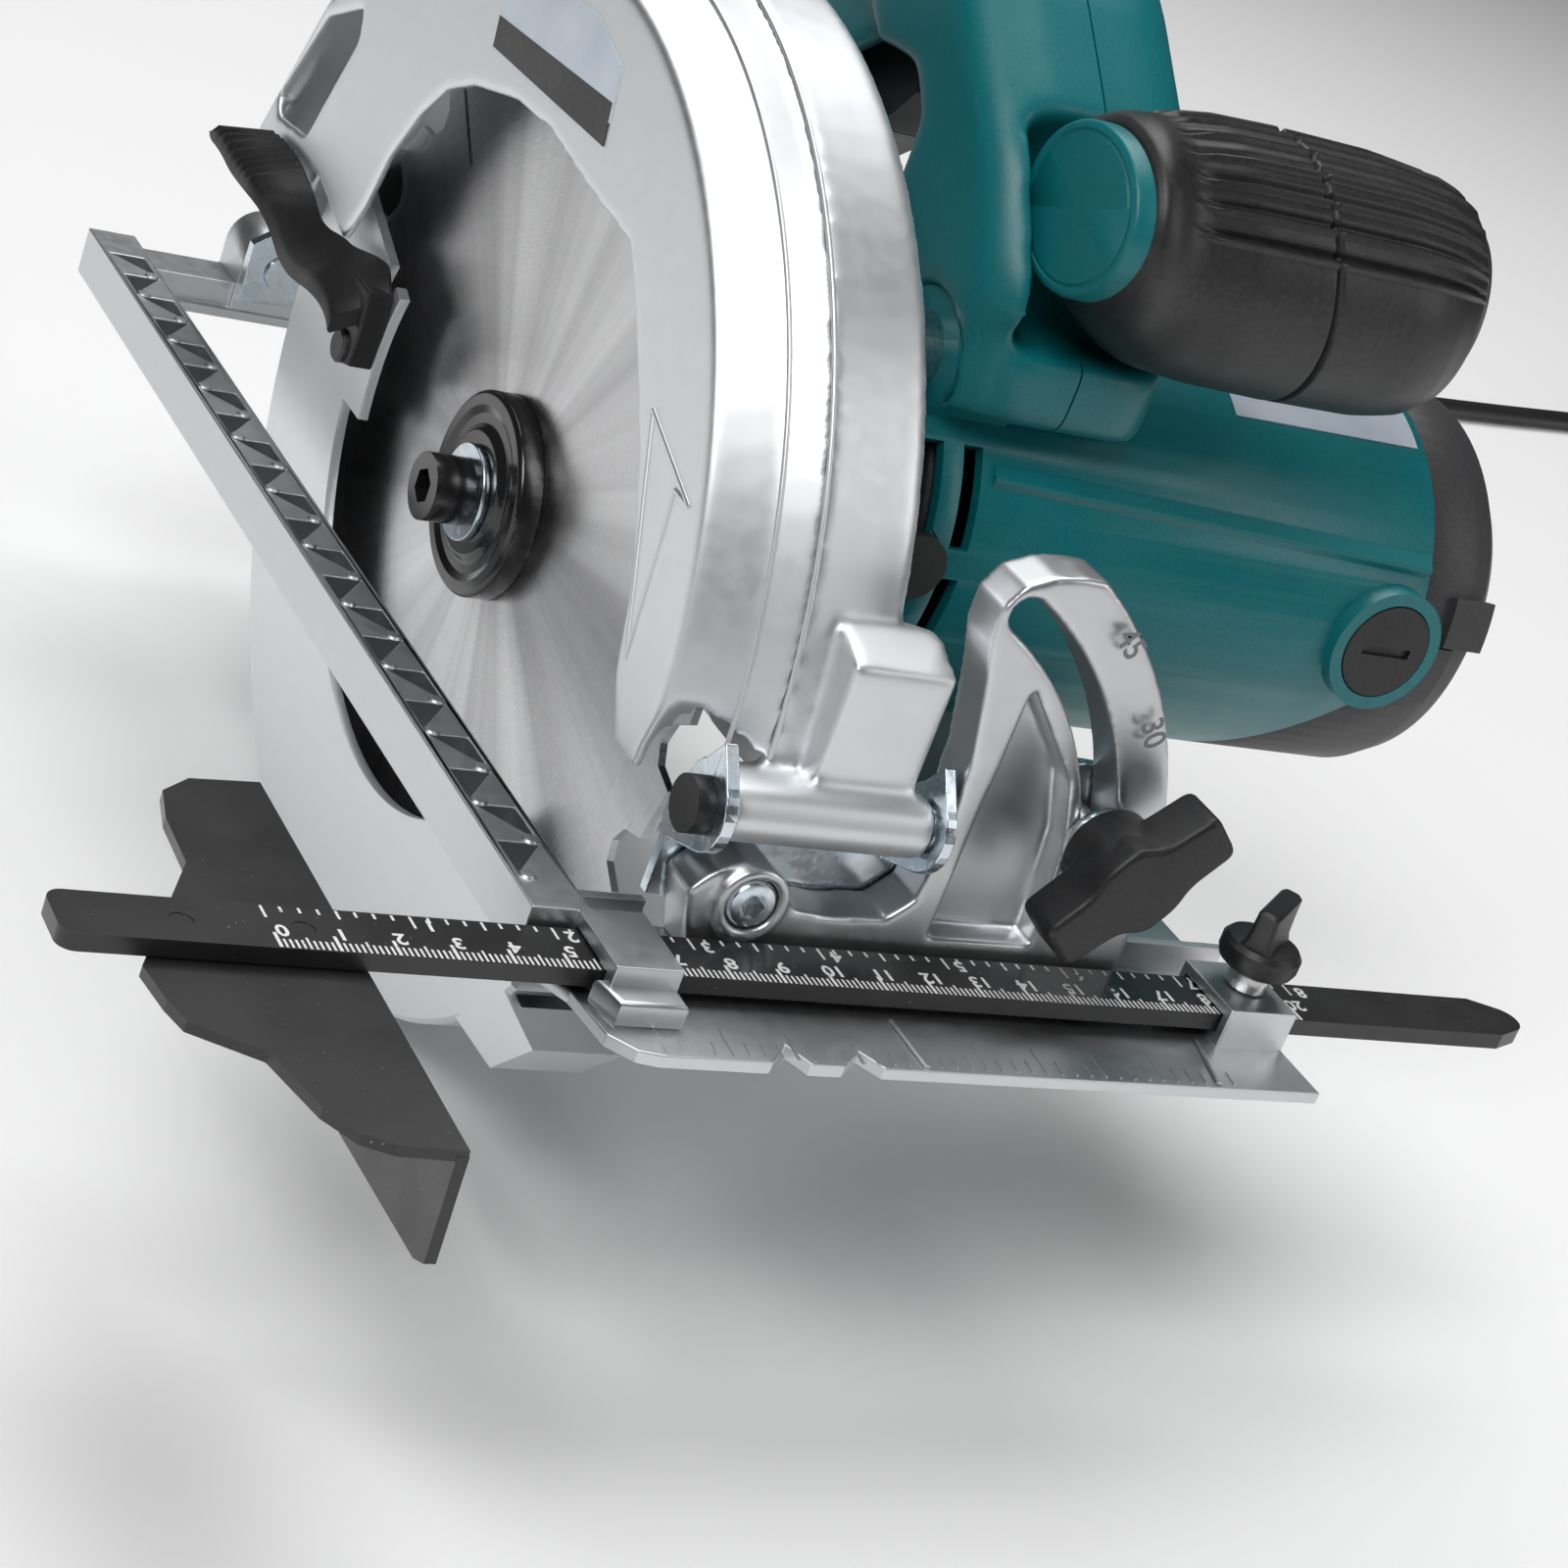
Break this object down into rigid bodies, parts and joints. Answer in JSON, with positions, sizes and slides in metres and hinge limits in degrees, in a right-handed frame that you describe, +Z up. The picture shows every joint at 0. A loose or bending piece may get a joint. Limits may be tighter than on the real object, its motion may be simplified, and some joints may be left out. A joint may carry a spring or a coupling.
{
  "type": "circular saw",
  "caption": "Corded hand-held circular saw with toothed blade, swinging lower guard, bevelling and depth-adjusting sole plate, rip guide, motor and two handles.",
  "frame": {"origin": "centre of the sole plate outline, on the face that rests on the work", "axes": "+Z up from the sole, -Y in the cutting direction, +X from the blade side to the motor side"},
  "size_m": [0.9633, 0.679, 0.2626],
  "materials": {
    "cast_base": "bright die-cast, satin",
    "cast_guard": "fine satin die-cast",
    "zinc": "clear zinc plating",
    "steel": "turned bright steel",
    "blade_steel": "radially ground steel",
    "black_steel": "black enamel",
    "black_oxide": "glossy black oxide",
    "black_plastic": "matte moulded",
    "teal_plastic": "fine-grained satin moulding",
    "grey_plastic": "fine-grained matte moulding",
    "rubber": "soft matte, moulded ribs",
    "copper": "turned copper",
    "laminated_steel": "stacked sheet",
    "carbon": "pressed carbon",
    "cord": "smooth matte sheath"
  },
  "bodies": {
    "base": {"base_plate": "cast_base", "bevel_quadrant": "cast_base", "front_pivot_screw": "zinc", "rear_pivot_screw": "zinc"},
    "guide": {"guide_bar": "black_steel", "guide_fence": "black_steel", "fence_rivets": "black_steel"},
    "guide_knob": {"guide_screw": "steel", "guide_wing": "black_plastic"},
    "tilt_frame": {"front_bracket": "zinc", "depth_pin": "steel", "pin_cap": "black_plastic", "bevel_bolt": "steel", "depth_bar": "zinc", "rear_bracket": "zinc"},
    "bevel_knob": {"bevel_wing": "black_plastic", "bevel_washer": "zinc"},
    "saw_body": {"guard_cover": "cast_guard", "gear_housing": "cast_guard", "motor_housing": "teal_plastic", "end_cap": "grey_plastic", "handle_left": "teal_plastic", "handle_right": "teal_plastic", "handle_grip": "rubber", "front_handle": "teal_plastic", "front_grip": "rubber", "stator": "laminated_steel", "brush_front": "carbon", "brush_rear": "carbon", "brush_cap_front": "black_plastic", "brush_cap_rear": "black_plastic", "bearing_front": "steel", "bearing_rear": "steel", "rotor_bearing_front": "steel", "rotor_bearing_rear": "steel", "switch_block": "black_plastic", "housing_standoff": "steel", "depth_clamp": "steel", "strain_relief": "cord", "guard_spring": "steel", "cord_lead": "cord", "cord_coil": "cord", "cord_plug": "cord"},
    "lower_guard": {"lower_guard": "cast_guard", "guard_lever": "black_plastic"},
    "spindle": {"spindle": "steel", "drive_gear": "steel", "inner_flange": "black_oxide", "saw_blade": "blade_steel", "outer_flange": "black_oxide", "blade_washer": "zinc", "blade_bolt": "black_oxide"},
    "rotor": {"rotor_shaft": "steel", "rotor_core": "laminated_steel", "commutator": "copper", "fan": "black_plastic"},
    "trigger": {"trigger": "black_plastic"},
    "lock_button": {"lock_button": "black_plastic"},
    "spindle_lock": {"spindle_lock": "black_plastic"},
    "depth_lever": {"depth_lever": "black_plastic"}
  },
  "joints": [
    {"name": "guide_slide", "type": "slide", "parent": "base", "child": "guide", "axis": [1, 0, 0], "range_m": [-0.07, 0.03]},
    {"name": "guide_knob_turn", "type": "hinge", "parent": "base", "child": "guide_knob", "pos_m": [0.068, -0.1355, 0], "axis": [0, 0, 1], "range_deg": [0, 180]},
    {"name": "bevel_tilt", "type": "hinge", "parent": "base", "child": "tilt_frame", "pos_m": [-0.0346, -0.0065, 0.0142], "axis": [0, -1, 0], "range_deg": [0, 45]},
    {"name": "bevel_knob_turn", "type": "hinge", "parent": "tilt_frame", "child": "bevel_knob", "pos_m": [0.02948, -0.1465, 0.03197], "axis": [0, -1, 0], "range_deg": [0, 90]},
    {"name": "depth_swing", "type": "hinge", "parent": "tilt_frame", "child": "saw_body", "pos_m": [-0.04, -0.1245, 0.03], "axis": [1, 0, 0], "range_deg": [0, 33]},
    {"name": "guard_swing", "type": "hinge", "parent": "saw_body", "child": "lower_guard", "pos_m": [-0.04, -0.0065, 0.0293], "axis": [1, 0, 0], "range_deg": [0, 100], "stiffness_Nm_per_rad": 0.25, "springref_deg": -57.3},
    {"name": "blade_spin", "type": "hinge", "parent": "saw_body", "child": "spindle", "pos_m": [-0.04, -0.0065, 0.0293], "axis": [1, 0, 0], "continuous": true},
    {"name": "rotor_spin", "type": "hinge", "parent": "saw_body", "child": "rotor", "pos_m": [-0.04, -0.027, 0.0515], "axis": [1, 0, 0], "continuous": true},
    {"name": "trigger_press", "type": "slide", "parent": "saw_body", "child": "trigger", "axis": [0, 0.6, 0.8], "range_m": [0, 0.005], "stiffness_N_per_m": 400},
    {"name": "lock_press", "type": "slide", "parent": "saw_body", "child": "lock_button", "axis": [1, 0, 0], "range_m": [0, 0.0015], "stiffness_N_per_m": 400},
    {"name": "spindle_lock_press", "type": "slide", "parent": "saw_body", "child": "spindle_lock", "axis": [0, 1, 0], "range_m": [0, 0.002], "stiffness_N_per_m": 600},
    {"name": "depth_lever_turn", "type": "hinge", "parent": "saw_body", "child": "depth_lever", "pos_m": [-0.008, 0.08329, 0.06664], "axis": [1, 0, 0], "range_deg": [0, 50]}
  ],
  "couplings": [
    {"joint": "rotor_spin", "follows": "blade_spin", "ratio": -5.3333}
  ]
}
